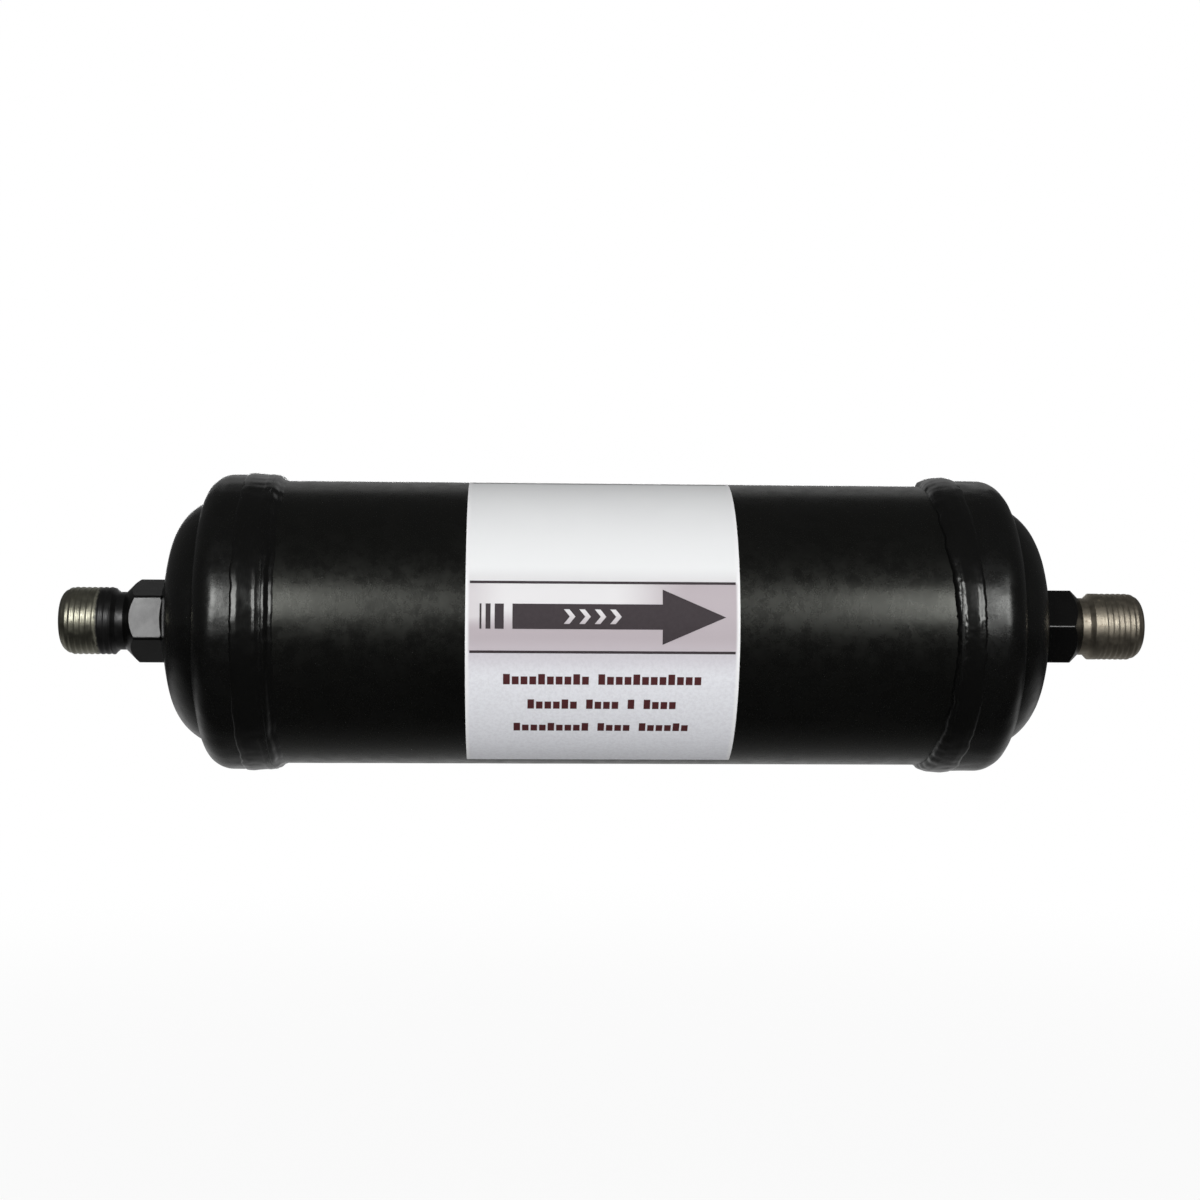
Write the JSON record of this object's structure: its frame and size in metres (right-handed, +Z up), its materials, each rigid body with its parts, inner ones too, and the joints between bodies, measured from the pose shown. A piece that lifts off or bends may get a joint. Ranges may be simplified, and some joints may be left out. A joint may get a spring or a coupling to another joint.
{
  "type": "filter drier",
  "caption": "Solid-core filter drier for a refrigerant line: black steel cylinder with domed caps, male flare fittings and a printed flow arrow.",
  "frame": {"origin": "centre of the body on its axis, midway between the two flare tips", "axes": "+X along the body in the direction of flow, from inlet to outlet; -Y out of the front of the label; +Z up"},
  "size_m": [0.3078, 0.0844, 0.0844],
  "materials": {
    "body_paint": "satin black enamel over steel",
    "bare_steel": "turned steel, lightly tarnished",
    "label_film": "satin white film",
    "label_ink_dark": "dark brown-grey ink",
    "label_ink_red": "brown-red ink",
    "spring_steel": "oiled spring wire",
    "plate_steel": "zinc-plated sheet",
    "screen_wire": "fine woven wire",
    "filter_felt": "needled polyester",
    "desiccant": "porous moulded block"
  },
  "bodies": {
    "root": {"shell_tube": "body_paint", "inlet_end_cap": "body_paint", "outlet_end_cap": "body_paint", "inlet_girth_weld": "body_paint", "outlet_girth_weld": "body_paint", "inlet_fitting": "bare_steel", "outlet_fitting": "bare_steel", "inlet_fitting_braze": "body_paint", "outlet_fitting_braze": "body_paint", "label": "label_film", "label_rules": "label_ink_dark", "label_flow_arrow": "label_ink_dark", "label_tail_bars": "label_ink_dark", "label_block_rows": "label_ink_red", "compression_spring": "spring_steel", "spring_plate": "plate_steel", "inlet_screen": "screen_wire", "inlet_filter_pad": "filter_felt", "desiccant_core": "desiccant", "core_gasket": "filter_felt", "outlet_filter_pad": "filter_felt", "outlet_screen": "screen_wire", "outlet_retainer": "plate_steel"}
  },
  "joints": []
}
